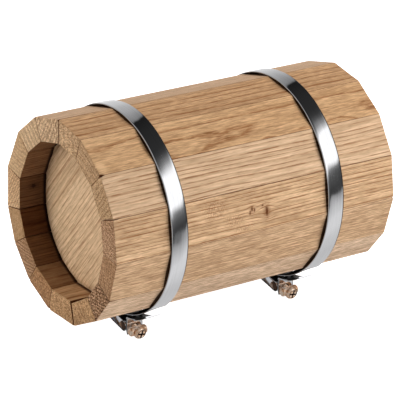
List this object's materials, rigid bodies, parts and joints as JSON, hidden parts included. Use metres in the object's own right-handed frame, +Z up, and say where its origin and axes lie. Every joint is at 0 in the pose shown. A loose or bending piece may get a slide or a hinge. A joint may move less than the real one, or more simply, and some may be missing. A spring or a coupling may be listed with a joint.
{
  "type": "oak wine barrel",
  "caption": "Small straight-sided oak wine barrel of flat staves with recessed heads, a bung and two polished steel hoops tightened by cross-pin screw clamps.",
  "frame": {"origin": "under the middle of the barrel, at the level of the lowest point of the two clamps' screw heads", "axes": "+X along the barrel from its front head to its rear head, +Z up with the hoop clamps underneath"},
  "size_m": [0.22, 0.1428, 0.1575],
  "materials": {
    "stave_oak": "bare planed oak",
    "head_oak": "bare planed oak",
    "dowel_wood": "bare turned wood",
    "bung_wood": "bare turned wood",
    "hoop_steel": "polished stainless steel",
    "copper_plated": "bright copper plating"
  },
  "bodies": {
    "barrel": {"stave_01": "stave_oak", "stave_02": "stave_oak", "stave_03": "stave_oak", "stave_04": "stave_oak", "stave_05": "stave_oak", "stave_06": "stave_oak", "stave_07": "stave_oak", "stave_08": "stave_oak", "stave_09": "stave_oak", "stave_10": "stave_oak", "stave_11": "stave_oak", "stave_12": "stave_oak", "stave_13": "stave_oak", "stave_14": "stave_oak", "stave_15": "stave_oak", "front_head_board_1": "head_oak", "front_head_board_2": "head_oak", "front_head_board_3": "head_oak", "rear_head_board_1": "head_oak", "rear_head_board_2": "head_oak", "rear_head_board_3": "head_oak", "front_head_dowels": "dowel_wood", "rear_head_dowels": "dowel_wood", "front_hoop": "hoop_steel", "front_hook_lug": "hoop_steel", "front_nut_pin": "copper_plated", "rear_hoop": "hoop_steel", "rear_hook_lug": "hoop_steel", "rear_nut_pin": "copper_plated"},
    "bung": {"bung": "bung_wood"},
    "front_head_pin": {"front_head_pin": "copper_plated"},
    "front_screw": {"front_screw": "copper_plated"},
    "rear_head_pin": {"rear_head_pin": "copper_plated"},
    "rear_screw": {"rear_screw": "copper_plated"}
  },
  "joints": [
    {"name": "bung_pull", "type": "slide", "parent": "barrel", "child": "bung", "axis": [0, 0.8788, 0.4772], "range_m": [0, 0.03]},
    {"name": "front_clamp_open", "type": "slide", "parent": "barrel", "child": "front_head_pin", "axis": [0, -0.9781, -0.2079], "range_m": [0, 0.008]},
    {"name": "front_screw_turn", "type": "hinge", "parent": "front_head_pin", "child": "front_screw", "pos_m": [-0.063, -0.02102, 0.00461], "axis": [0, -0.9781, -0.2079], "range_deg": [0, 3601]},
    {"name": "rear_clamp_open", "type": "slide", "parent": "barrel", "child": "rear_head_pin", "axis": [0, -0.9781, -0.2079], "range_m": [0, 0.008]},
    {"name": "rear_screw_turn", "type": "hinge", "parent": "rear_head_pin", "child": "rear_screw", "pos_m": [0.0605, -0.02102, 0.00461], "axis": [0, -0.9781, -0.2079], "range_deg": [0, 3601]}
  ],
  "couplings": [
    {"joint": "front_screw_turn", "follows": "front_clamp_open", "rad_per_m": 7854},
    {"joint": "rear_screw_turn", "follows": "rear_clamp_open", "rad_per_m": 7854}
  ]
}
